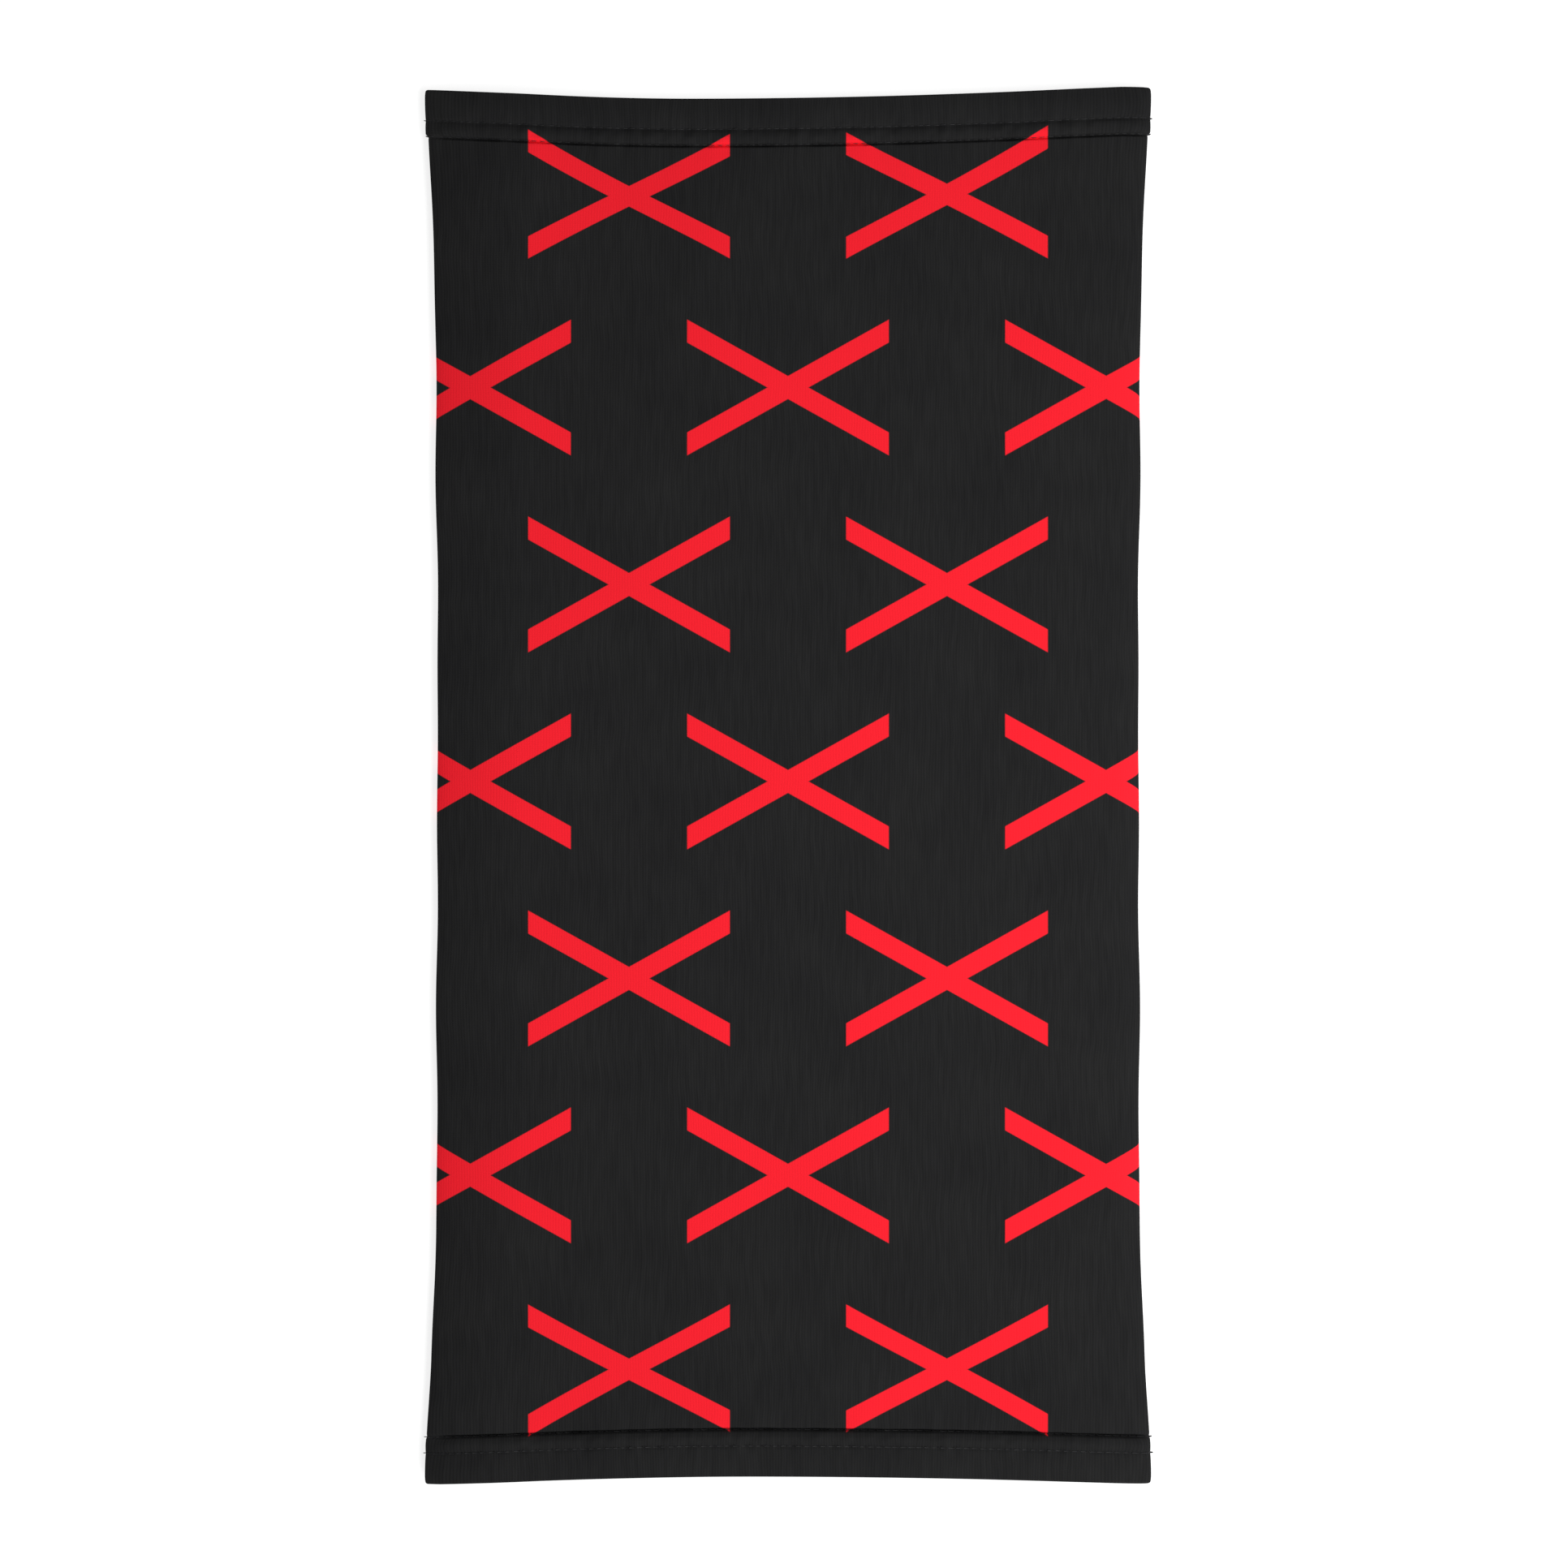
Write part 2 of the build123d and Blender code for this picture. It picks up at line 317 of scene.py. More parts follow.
middleRow = int(np.argmin(np.abs(rows[:, 4])))
middleLine = printedFace[:, middleRow]
walked = np.concatenate([[0], np.cumsum(np.linalg.norm(np.diff(middleLine, axis=0), axis=-1))])
frontMiddle = places.index(("front", 1, 0.0, 0.0))
seamToSeam = walked[-1]
fromMiddle = walked[frontMiddle] - walked  # along the cloth from the middle of the front, right positive
print("tube shaped:", len(places), "stations by", len(rows), "rows,", round(seamToSeam, 1), "mm round")


def linearColour(hexCode):
    parts = [int(hexCode[i : i + 2], 16) / 255 for i in (1, 3, 5)]
    return [c / 12.92 if c <= 0.04045 else ((c + 0.055) / 1.055) ** 2.4 for c in parts] + [1.0]


def addNode(tree, kind, links=None, **settings):
    # links is what goes into each socket: a node, one of a node's outputs, or a plain value
    node = tree.nodes.new(kind)
    for name, value in settings.items():
        setattr(node, name, value)
    for socket, value in (links or {}).items():
        if isinstance(value, bpy.types.Node):
            value = value.outputs[0]
        if isinstance(value, bpy.types.NodeSocket):
            tree.links.new(value, node.inputs[socket])
        else:
            node.inputs[socket].default_value = value
    return node


def newMaterial(name):
    material = bpy.data.materials.new(name)
    material.use_nodes = True
    return material, material.node_tree, material.node_tree.nodes["Principled BSDF"]


jersey = {
    "waleWidth": 0.95,  # a real wale is 0.65 mm; drawn coarser, so that it shows
    "waleWander": 3.0,  # how far the wales drift to and fro
    "courseHeight": 0.8,
    "loopSlant": 1.6,  # how far a loop's legs lean, in radians of a course
    "loopSwell": 0.18,
    "fuzz": 0.5,
    "reliefHeight": 0.06,
    "ribPaintedShadeAndHighlight": (0.82, 1.05),  # painted shade between the ribs, and painted highlight on top of them
    "streakShade": (0.90, 1.08),
    "charcoal": "#1E1E1F",
    "charcoalWorn": "#262626",
    "red": "#F1222F",
    "white": "#E6E6E7",
    # painted shade between the white face's ribs, none added on their tops
    "whiteRibPaintedShade": (0.90, 1.0),
    "printEdge": 0.5,
    "crossHalfWidth": 35.3,
    "crossSlope": 0.5595,
    "strokeHalf": 4.0,
    "rowPitch": 69.0,
    "columnPitch": 111.4,
    "firstRowAt": 1.6,
}


def knitFace(tree, shader):
    # jersey's face is columns of V-shaped loops: rounded ribs along the cloth, each loop a small swell
    place = addNode(tree, "ShaderNodeUVMap", uv_map="acrossAndAlong")
    split = addNode(tree, "ShaderNodeSeparateXYZ", {0: place})
    across, along = split.outputs["X"], split.outputs["Y"]
    drift = addNode(tree, "ShaderNodeTexNoise", {"Vector": place, "Scale": 0.035, "Detail": 2.0})
    moved = addNode(tree, "ShaderNodeMath", {0: drift, 1: jersey["waleWander"], 2: across},
                    operation="MULTIPLY_ADD")
    wale = addNode(tree, "ShaderNodeMath", {0: moved, 1: math.pi / jersey["waleWidth"]},
                   operation="MULTIPLY")
    wave = addNode(tree, "ShaderNodeMath", {0: wale}, operation="SINE")
    rib = addNode(tree, "ShaderNodeMath", {0: wave}, operation="ABSOLUTE")
    course = addNode(tree, "ShaderNodeMath", {0: along, 1: 2 * math.pi / jersey["courseHeight"]},
                     operation="MULTIPLY")
    slant = addNode(tree, "ShaderNodeMath", {0: rib, 1: jersey["loopSlant"], 2: course},
                    operation="MULTIPLY_ADD")
    loop = addNode(tree, "ShaderNodeMath", {0: slant}, operation="SINE")
    fuzz = addNode(tree, "ShaderNodeTexNoise", {"Vector": place, "Scale": 0.9, "Detail": 3.0})
    swell = addNode(tree, "ShaderNodeMath", {0: loop, 1: jersey["loopSwell"], 2: rib},
                    operation="MULTIPLY_ADD")
    height = addNode(tree, "ShaderNodeMath", {0: fuzz, 1: jersey["fuzz"], 2: swell},
                     operation="MULTIPLY_ADD")
    relief = addNode(tree, "ShaderNodeBump", {
        "Strength": 0.55, "Distance": jersey["reliefHeight"] * mm, "Height": height,
    })
    tree.links.new(relief.outputs["Normal"], shader.inputs["Normal"])
    # yarn is never quite even: some wales are darker for a few centimetres
    slowly = addNode(tree, "ShaderNodeMath", {0: along, 1: 0.08}, operation="MULTIPLY")
    drawnOut = addNode(tree, "ShaderNodeCombineXYZ", {"X": moved, "Y": slowly})
    streak = addNode(tree, "ShaderNodeTexNoise", {"Vector": drawnOut, "Scale": 0.8, "Detail": 2.0})
    return {"across": across, "along": along, "rib": rib, "streak": streak, "drift": drift}


def crosses(tree, across, along):
    # rows of plain crosses, every other row half a step over: 1 in a stroke and 0 beside it
    pitch, gap = jersey["rowPitch"], jersey["columnPitch"]
    toRow = pitch / 2 - jersey["firstRowAt"]
    fromRow = addNode(tree, "ShaderNodeMath", {0: along, 1: toRow}, operation="ADD")
    rowsUp = addNode(tree, "ShaderNodeMath", {0: fromRow, 1: pitch}, operation="DIVIDE")
    rowNumber = addNode(tree, "ShaderNodeMath", {0: rowsUp}, operation="FLOOR")
    upRow = addNode(tree, "ShaderNodeMath", {0: fromRow, 1: pitch}, operation="FLOORED_MODULO")
    inRow = addNode(tree, "ShaderNodeMath", {0: upRow, 1: pitch / 2}, operation="SUBTRACT")
    above = addNode(tree, "ShaderNodeMath", {0: inRow}, operation="ABSOLUTE")
    odd = addNode(tree, "ShaderNodeMath", {0: rowNumber, 1: 2.0}, operation="FLOORED_MODULO")
    centred = addNode(tree, "ShaderNodeMath", {0: across, 1: gap / 2}, operation="ADD")
    staggered = addNode(tree, "ShaderNodeMath", {0: odd, 1: gap / 2, 2: centred}, operation="MULTIPLY_ADD")
    overColumn = addNode(tree, "ShaderNodeMath", {0: staggered, 1: gap}, operation="FLOORED_MODULO")
    inColumn = addNode(tree, "ShaderNodeMath", {0: overColumn, 1: gap / 2}, operation="SUBTRACT")
    out = addNode(tree, "ShaderNodeMath", {0: inColumn}, operation="ABSOLUTE")
    centreLine = addNode(tree, "ShaderNodeMath", {0: out, 1: jersey["crossSlope"]}, operation="MULTIPLY")
    over = addNode(tree, "ShaderNodeMath", {0: above, 1: centreLine}, operation="SUBTRACT")
    offLine = addNode(tree, "ShaderNodeMath", {0: over}, operation="ABSOLUTE")
    soft = jersey["printEdge"] / 2
    stroke, reach = jersey["strokeHalf"], jersey["crossHalfWidth"]
    inStroke = addNode(tree, "ShaderNodeMapRange", {
        "Value": offLine, "From Min": stroke + soft, "From Max": stroke - soft,
    }, interpolation_type="SMOOTHSTEP")
    inWidth = addNode(tree, "ShaderNodeMapRange", {
        "Value": out, "From Min": reach + soft, "From Max": reach - soft,
    }, interpolation_type="SMOOTHSTEP")
    return addNode(tree, "ShaderNodeMath", {0: inStroke, 1: inWidth}, operation="MULTIPLY")


def printedJersey():
    # polyester and elastane jersey, dyed by heat transfer print: the colour is in the fibre, so it stays
    # matt, with painted shade between the fine ribs of the knit and painted highlight on their tops, as
    # dark and light lines
    material, tree, shader = newMaterial("heatTransferPrintedJersey")
    face = knitFace(tree, shader)
    ground = addNode(tree, "ShaderNodeMix", {
        "Factor": face["drift"],
        6: linearColour(jersey["charcoal"]),
        7: linearColour(jersey["charcoalWorn"]),
    }, data_type="RGBA")
    between, onTop = jersey["ribPaintedShadeAndHighlight"]
    dark, light = jersey["streakShade"]
    # painted shade between the ribs and painted highlight on their tops
    paintedRibShadeAndHighlight = addNode(tree, "ShaderNodeMapRange", {
        "Value": face["rib"], "To Min": between, "To Max": onTop,
    })
    streakLight = addNode(tree, "ShaderNodeMapRange", {
        "Value": face["streak"], "From Min": 0.35, "From Max": 0.65, "To Min": dark, "To Max": light,
    })
    # the painted rib shade and highlight, times the yarn's own uneven streaks
    shade = addNode(tree, "ShaderNodeMath", {0: paintedRibShadeAndHighlight, 1: streakLight}, operation="MULTIPLY")
    groundWithPaintedRibShade = addNode(tree, "ShaderNodeMix", {
        "Factor": 1.0, 6: ground.outputs[2], 7: shade,
    }, data_type="RGBA", blend_type="MULTIPLY")
    dyed = addNode(tree, "ShaderNodeMix", {
        "Factor": crosses(tree, face["across"], face["along"]),
        6: groundWithPaintedRibShade.outputs[2], 7: linearColour(jersey["red"]),
    }, data_type="RGBA")
    tree.links.new(dyed.outputs[2], shader.inputs["Base Color"])
    shader.inputs["Roughness"].default_value = 0.82
    shader.inputs["Specular IOR Level"].default_value = 0.03
    return material


def unprintedJersey():
    # the same knit's other face, left the white of the undyed yarn: softer, with less painted shade between
    # its ribs
    material, tree, shader = newMaterial("undyedPolyesterJersey")
    face = knitFace(tree, shader)
    between, onTop = jersey["whiteRibPaintedShade"]
    # painted shade between the ribs
    paintedRibShadeAndHighlight = addNode(tree, "ShaderNodeMapRange", {
        "Value": face["rib"], "To Min": between, "To Max": onTop,
    })
    shaded = addNode(tree, "ShaderNodeMix", {
        "Factor": 1.0, 6: linearColour(jersey["white"]), 7: paintedRibShadeAndHighlight,
    }, data_type="RGBA", blend_type="MULTIPLY")
    tree.links.new(shaded.outputs[2], shader.inputs["Base Color"])
    shader.inputs["Roughness"].default_value = 0.85
    shader.inputs["Specular IOR Level"].default_value = 0.25
    shader.inputs["Sheen Weight"].default_value = 0.08
    return material


thread = {
    "plyTwist": 0.8,  # length of one turn of the thread's plies
    "black": "#161618",
    "texturedBlack": "#1B1B1D",
}


def spunThread(name, colour, roughness):
    # polyester sewing thread, twisted from plies: dark, with a faint gleam along its twist
    material, tree, shader = newMaterial(name)
    where = addNode(tree, "ShaderNodeTexCoord").outputs["Object"]
    perTurn = 1 / (thread["plyTwist"] * mm)
    twist = addNode(tree, "ShaderNodeTexWave", {
        "Vector": where, "Scale": perTurn / 6, "Distortion": 1.5,
    }, bands_direction="DIAGONAL")
    relief = addNode(tree, "ShaderNodeBump", {
        "Strength": 0.4, "Distance": 0.04 * mm, "Height": twist.outputs["Fac"],
    })
    tree.links.new(relief.outputs["Normal"], shader.inputs["Normal"])
    shader.inputs["Base Color"].default_value = linearColour(colour)
    shader.inputs["Roughness"].default_value = roughness
    shader.inputs["Specular IOR Level"].default_value = 0.35
    return material


printedCloth = printedJersey()
whiteCloth = unprintedJersey()
sewingThread = spunThread("spunPolyesterSewingThread", thread["black"], 0.55)
overlockThread = spunThread("texturedPolyesterOverlockThread", thread["texturedBlack"], 0.75)
print("materials made")


def clothPiece(name, first, last):
    # a closed shell of the tube from one station to another: printed face, white face, edges and ends
    count, wide = len(rows), last - first + 1
    vertices = np.concatenate([
        printedFace[first : last + 1].reshape(-1, 3), whiteFace[first : last + 1].reshape(-1, 3),
    ])
    normals = np.concatenate([
        printedNormal[first : last + 1].reshape(-1, 3), whiteNormal[first : last + 1].reshape(-1, 3),
    ])
    index = np.arange(wide * count).reshape(wide, count)
    outer, inner = index, index + wide * count
    printed = np.stack([outer[:-1, :-1], outer[:-1, 1:], outer[1:, 1:], outer[1:, :-1]], -1)
    white = np.stack([inner[:-1, :-1], inner[1:, :-1], inner[1:, 1:], inner[:-1, 1:]], -1)
    faces = [printed.reshape(-1, 4), white.reshape(-1, 4)]
    smoothFaces = len(faces[0]) + len(faces[1])
    faces.append(np.stack([outer[:-1, 0], outer[1:, 0], inner[1:, 0], inner[:-1, 0]], -1))
    faces.append(np.stack([outer[:-1, -1], inner[:-1, -1], inner[1:, -1], outer[1:, -1]], -1))
    faces.append(np.stack([outer[0, :-1], inner[0, :-1], inner[0, 1:], outer[0, 1:]], -1))
    faces.append(np.stack([outer[-1, :-1], outer[-1, 1:], inner[-1, 1:], inner[-1, :-1]], -1))
    allFaces = np.concatenate(faces)
    mesh = bpy.data.meshes.new(name)
    mesh.from_pydata((vertices * mm).tolist(), [], allFaces.tolist())
    mesh.materials.append(printedCloth)
    mesh.materials.append(whiteCloth)
    isWhite = np.ones(len(allFaces), int)
    isWhite[: len(faces[0])] = 0
    mesh.polygons.foreach_set("material_index", isWhite)
    mesh.polygons.foreach_set("use_smooth", np.arange(len(allFaces)) < smoothFaces)
    across = np.repeat(fromMiddle[first : last + 1], count)
    along = np.tile(rows[:, 4], wide)
    places2d = np.stack([across, along], -1)
    corner = allFaces.reshape(-1) % (wide * count)
    layer = mesh.uv_layers.new(name="acrossAndAlong")
    layer.data.foreach_set("uv", places2d[corner].reshape(-1).astype(np.float32))
    mesh.update()
    mesh.normals_split_custom_set_from_vertices(normals.tolist())
    piece = bpy.data.objects.new(name, mesh)
    bpy.context.scene.collection.objects.link(piece)
    return piece


def station(face, side, flatX, turn=0.0):
    # the number of the station nearest to a place on one side's back or front
    onIt = [i for i, p in enumerate(places) if p[0] == face and p[1] == side]
    return min(onIt, key=lambda i: abs(places[i][2] - flatX) + 50 * abs(places[i][3] - turn))


sections = {
    "ease": 11.0,  # the cloth bends over this much on each side of a bend
    "rollStarts": 119.0,  # at a side fold it turns between these, from the back's face to the middle
    "rollEnds": 120.0,
}


def clothSections():
    # where the tube is divided, which two bodies each section bends between, and which strips it is
    top, bottom = loftHeight - tube["cloth"] / 2, tube["cloth"] / 2
    found = []
    for side, word in ((1, "right"), (-1, "left")):
        cuts = [
            0 if side == 1 else len(places) - 1,
            station("back", side, 2 * innerBend),
            station("back", side, tube["cutAt"]),
            station("back", side, tube["cutAt"], 1.0),
            station("front", side, tube["cutAt"]),
            station("front", side, 2 * innerBend),
            frontMiddle,
        ]
        bodies = ["back_centre"] + [f"{b}_{word}" for b in
                  ("back_inner", "back_outer", "side", "front_outer", "front_inner", "front_centre")]
        ease, starts, ends = sections["ease"], sections["rollStarts"], sections["rollEnds"]
        turns = [
            ((innerBend - ease, bottom), (innerBend + ease, bottom)),
            ((outerBend - ease, bottom), (outerBend + ease, bottom)),
            ((starts, 0.0), (ends, midHeight)),
            ((ends, midHeight), (starts, loftHeight)),
            ((outerBend + ease, top), (outerBend - ease, top)),
            ((innerBend + ease, top), (innerBend - ease, top)),
        ]
        strips = [[f"back_centre_{word}"], [f"back_inner_{word}"], [f"back_outer_{word}", f"side_{word}"],
                  [f"front_outer_{word}"], [f"front_inner_{word}"], [f"front_centre_{word}"]]
        names = ["BackMiddle", "BackSide", "LowerEdge", "UpperEdge", "FrontSide", "FrontMiddle"]
        for i, name in enumerate(names):
            found.append({
                "name": word + name,
                "span": sorted((cuts[i], cuts[i + 1])),
                "bodies": (bodies[i], bodies[i + 1]),
                "turn": [(side * x * mm, 0.0, z * mm) for x, z in turns[i]],
                "strips": strips[i],
            })
    return found


def follow(piece):
    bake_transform(piece)


allSections = clothSections()
floorName = "paleFloor"
for section in allSections:
    first, last = section["span"]
    piece = clothPiece("jersey_" + section["name"], first, last)
    follow(piece)
    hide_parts(*[strip + "_cloth" for strip in section["strips"]])


def guideLine(name, points, normals=None):
    # a path for a thread, with the direction its face looks in
    mesh = bpy.data.meshes.new(name)
    mesh.from_pydata((points * mm).tolist(), [(i, i + 1) for i in range(len(points) - 1)], [])
    facing = mesh.attributes.new("facing", "FLOAT_VECTOR", "POINT")
    normals = np.tile([0.0, 0.0, 1.0], (len(points), 1)) if normals is None else normals
    facing.data.foreach_set("vector", normals.reshape(-1).astype(np.float32))
    guide = bpy.data.objects.new(name, mesh)
    bpy.context.scene.collection.objects.link(guide)
    return guide


def newTree(name, floats):
    tree = bpy.data.node_groups.new(name, "GeometryNodeTree")
    tree.interface.new_socket("Geometry", in_out="INPUT", socket_type="NodeSocketGeometry")
    for label, value in floats.items():
        socket = tree.interface.new_socket(label, in_out="INPUT", socket_type="NodeSocketFloat")
        socket.default_value = value
    tree.interface.new_socket("Thread", in_out="INPUT", socket_type="NodeSocketMaterial")
    tree.interface.new_socket("Geometry", in_out="OUTPUT", socket_type="NodeSocketGeometry")
    start = addNode(tree, "NodeGroupInput")
    return tree, start.outputs


def endTree(tree, geometry, material):
    real = addNode(tree, "GeometryNodeRealizeInstances", {"Geometry": geometry})
    rounded = addNode(tree, "GeometryNodeSetShadeSmooth", {"Geometry": real})
    painted = addNode(tree, "GeometryNodeSetMaterial", {"Geometry": rounded, "Material": material})
    addNode(tree, "NodeGroupOutput", {"Geometry": painted})


def stitchRowTree():
    # lockstitches in a row: each a short arched bar that dives into the cloth at both ends
    tree, given = newTree("rowOfStitches", {"Spacing": 2.8 * mm, "Stitch length": 2.3 * mm,
                                            "Thread width": 0.3 * mm, "Arch": 0.25 * mm})
    line = addNode(tree, "GeometryNodeMeshToCurve", {"Mesh": given["Geometry"]})
    spaced = addNode(tree, "GeometryNodeResampleCurve", {"Curve": line, "Length": given["Spacing"]},
                     mode="LENGTH")
    forward = addNode(tree, "ShaderNodeMath", {0: given["Stitch length"], 1: 0.5}, operation="MULTIPLY")
    backward = addNode(tree, "ShaderNodeMath", {0: given["Stitch length"], 1: -0.5}, operation="MULTIPLY")
    under = addNode(tree, "ShaderNodeMath", {0: given["Arch"], 1: -1.0}, operation="MULTIPLY")
    goesIn = addNode(tree, "ShaderNodeCombineXYZ", {"X": backward, "Z": under})
    over = addNode(tree, "ShaderNodeCombineXYZ", {"Z": given["Arch"]})
    comesOut = addNode(tree, "ShaderNodeCombineXYZ", {"X": forward, "Z": under})
    arch = addNode(tree, "GeometryNodeCurveQuadraticBezier", {
        "Resolution": 5, "Start": goesIn, "Middle": over, "End": comesOut,
    })
    radius = addNode(tree, "ShaderNodeMath", {0: given["Thread width"], 1: 0.5}, operation="MULTIPLY")
    ring = addNode(tree, "GeometryNodeCurvePrimitiveCircle", {"Resolution": 6, "Radius": radius})
    bar = addNode(tree, "GeometryNodeCurveToMesh", {
        "Curve": arch, "Profile Curve": ring, "Fill Caps": True,
    })
    along = addNode(tree, "GeometryNodeInputTangent")
    facing = addNode(tree, "GeometryNodeInputNamedAttribute", {"Name": "facing"}, data_type="FLOAT_VECTOR")
    lengthways = addNode(tree, "FunctionNodeAlignRotationToVector", {"Vector": along}, axis="X")
    upright = addNode(tree, "FunctionNodeAlignRotationToVector", {
        "Rotation": lengthways, "Vector": facing.outputs["Attribute"],
    }, axis="Z", pivot_axis="X")
    sewn = addNode(tree, "GeometryNodeInstanceOnPoints", {
        "Points": spaced, "Instance": bar, "Rotation": upright,
    })
    endTree(tree, sewn, given["Thread"])
    return tree


def threadPathTree():
    # a thread that runs along its path, round in section
    tree, given = newTree("threadAlongPath", {"Thread width": 0.3 * mm})
    line = addNode(tree, "GeometryNodeMeshToCurve", {"Mesh": given["Geometry"]})
    radius = addNode(tree, "ShaderNodeMath", {0: given["Thread width"], 1: 0.5}, operation="MULTIPLY")
    ring = addNode(tree, "GeometryNodeCurvePrimitiveCircle", {"Resolution": 6, "Radius": radius})
    swept = addNode(tree, "GeometryNodeCurveToMesh", {
        "Curve": line, "Profile Curve": ring, "Fill Caps": True,
    })
    endTree(tree, swept, given["Thread"])
    return tree


def sew(guide, tree, inputs):
    # runs a node tree on a guide line and gives back its plain mesh
    modifier = guide.modifiers.new("sewing", "NODES")
    modifier.node_group = tree
    sockets = {s.name: s.identifier for s in tree.interface.items_tree if s.in_out == "INPUT"}
    for name, value in inputs.items():
        modifier[sockets[name]] = value
    graph = bpy.context.evaluated_depsgraph_get()
    mesh = bpy.data.meshes.new_from_object(guide.evaluated_get(graph), depsgraph=graph)
    guide.modifiers.remove(modifier)
    bpy.data.objects.remove(guide)
    return mesh


def joined(name, meshes):
    # several meshes of one material as one object
    whole = bmesh.new()
    for mesh in meshes:
        whole.from_mesh(mesh)
    together = bpy.data.meshes.new(name)
    whole.to_mesh(together)
    whole.free()
    together.materials.clear()
    together.materials.append(next(m for m in meshes[0].materials if m))
    together.polygons.foreach_set("material_index", [0] * len(together.polygons))
    if "facing" in together.attributes:
        together.attributes.remove(together.attributes["facing"])
    piece = bpy.data.objects.new(name, together)
    bpy.context.scene.collection.objects.link(piece)
    return piece


hemStitching = {
    "spacing": 2.8,
    "stitchLength": 2.3,
    "needleThread": 0.32,
    "looperThread": 0.3,
    "arch": 0.2,
    "onFace": 0.02,  # how far the needle threads' line stands off the cloth
    "latticeSteps": 5,
}


def ring(fromFold, depth, end, span):
    # the line round the tube at one place in a hem, between two stations, with its outward normals
    y = end * (halfLength - fromFold + np.array([-0.05, 0.0, 0.05]))
    line = tubeSurface(stations, y, np.full(3, depth))
    normal = np.cross(np.gradient(line, axis=1), np.gradient(line, axis=0))[:, 1] * end
    normal = normal / np.linalg.norm(normal, axis=-1, keepdims=True)
    first, last = span
    return line[first : last + 1, 1], normal[first : last + 1] * end


def resampled(points, normals, shares):
    # points and normals at these shares of a line's length
    walk = np.concatenate([[0], np.cumsum(np.linalg.norm(np.diff(points, axis=0), axis=-1))])
    reached = shares * walk[-1]
    place = np.stack([np.interp(reached, walk, points[:, i]) for i in range(3)], -1)
    facing = np.stack([np.interp(reached, walk, normals[:, i]) for i in range(3)], -1)
    return place, facing


def lineLength(points):
    return float(np.linalg.norm(np.diff(points, axis=0), axis=-1).sum())


def needleRow(section, end, fromFold):
    points, normals = ring(fromFold, -hemStitching["onFace"], end, section["span"])
    margin = hemStitching["spacing"] / 2 / lineLength(points)
    place, facing = resampled(points, normals, np.linspace(margin, 1 - margin, 80))
    guide = guideLine("needleRow", place, facing)
    return sew(guide, stitchRow, {
        "Spacing": hemStitching["spacing"] * mm,
        "Stitch length": hemStitching["stitchLength"] * mm,
        "Thread width": hemStitching["needleThread"] * mm,
        "Arch": hemStitching["arch"] * mm,
        "Thread": sewingThread,
    })


def looperLattice(section, end, startsHigh):
    # the looper thread crosses from row to row on the inside, and back at the next stitch
    steps = hemStitching["latticeSteps"]
    depth = flapDepth + hemStitching["looperThread"] / 2
    levels = np.linspace(hem["firstRow"], hem["secondRow"], steps)
    rings = [ring(e, depth, end, section["span"]) for e in levels]
    crossings = 2 * max(1, round(lineLength(rings[0][0]) / hemStitching["spacing"] / 2))
    at = np.linspace(0, 1, crossings * (steps - 1) + 1)
    lines = [resampled(points, normals, at)[0] for points, normals in rings]
    sweep = np.abs((np.arange(len(at)) + (steps - 1) * startsHigh) % (2 * steps - 2) - (steps - 1))
    path = np.array([lines[level][i] for i, level in enumerate(sweep)])
    return sew(guideLine("looper", path), threadPath, {
        "Thread width": hemStitching["looperThread"] * mm,
        "Thread": sewingThread,
    })


stitchRow = stitchRowTree()
threadPath = threadPathTree()
hemThreads = {}
for section in allSections:
    for end, word in ((1, "top"), (-1, "bottom")):
        meshes = [needleRow(section, end, hem["firstRow"]), needleRow(section, end, hem["secondRow"])]
        meshes += [looperLattice(section, end, high) for high in (0, 1)]
        piece = joined(f"{word}HemThreads_{section['name']}", meshes)
        follow(piece)
        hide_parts(*[f"{strip}_{word}_stitching" for strip in section["strips"]])
        hemThreads.setdefault(section["name"], []).append(piece)
print("hem threads sewn:", sum(len(p) for p in hemThreads.values()))


backSeam = {
    "allowance": 6.0,
    "foldOut": 0.4,  # the ply starts this far out from the seam, rounded
    "edgeRounding": 0.12,
    "needleAt": 1.3,
    "stitch": 2.6,
    "stitchLength": 2.2,
    "thread": 0.32,
    "looperThread": 0.34,
    "loopPastEdge": 0.3,  # how far an overlock loop stands off the cut edge
    "loopArch": 0.1,
    "plyLift": 0.05,
    "wander": 0.25,
    "edgeWaves": (17.0, 29.0, 8.3),
    "liftWaves": (11.0, 23.0),
    "seed": 31,
}
seamEndY = halfLength - hem["rawEdge"] - 0.3


def seamLine(x, y, depth):
    # a point on or above the inside of the back, left of the seam
    at = stationsFrom([("back", -1, float(-v), 0.0) for v in x])
    points = tubeSurface(at, y, np.zeros(len(y)))
    spot = points[np.arange(len(x)), np.arange(len(y))]
    return spot + np.stack([np.zeros(len(x)), np.zeros(len(x)), depth], -1)


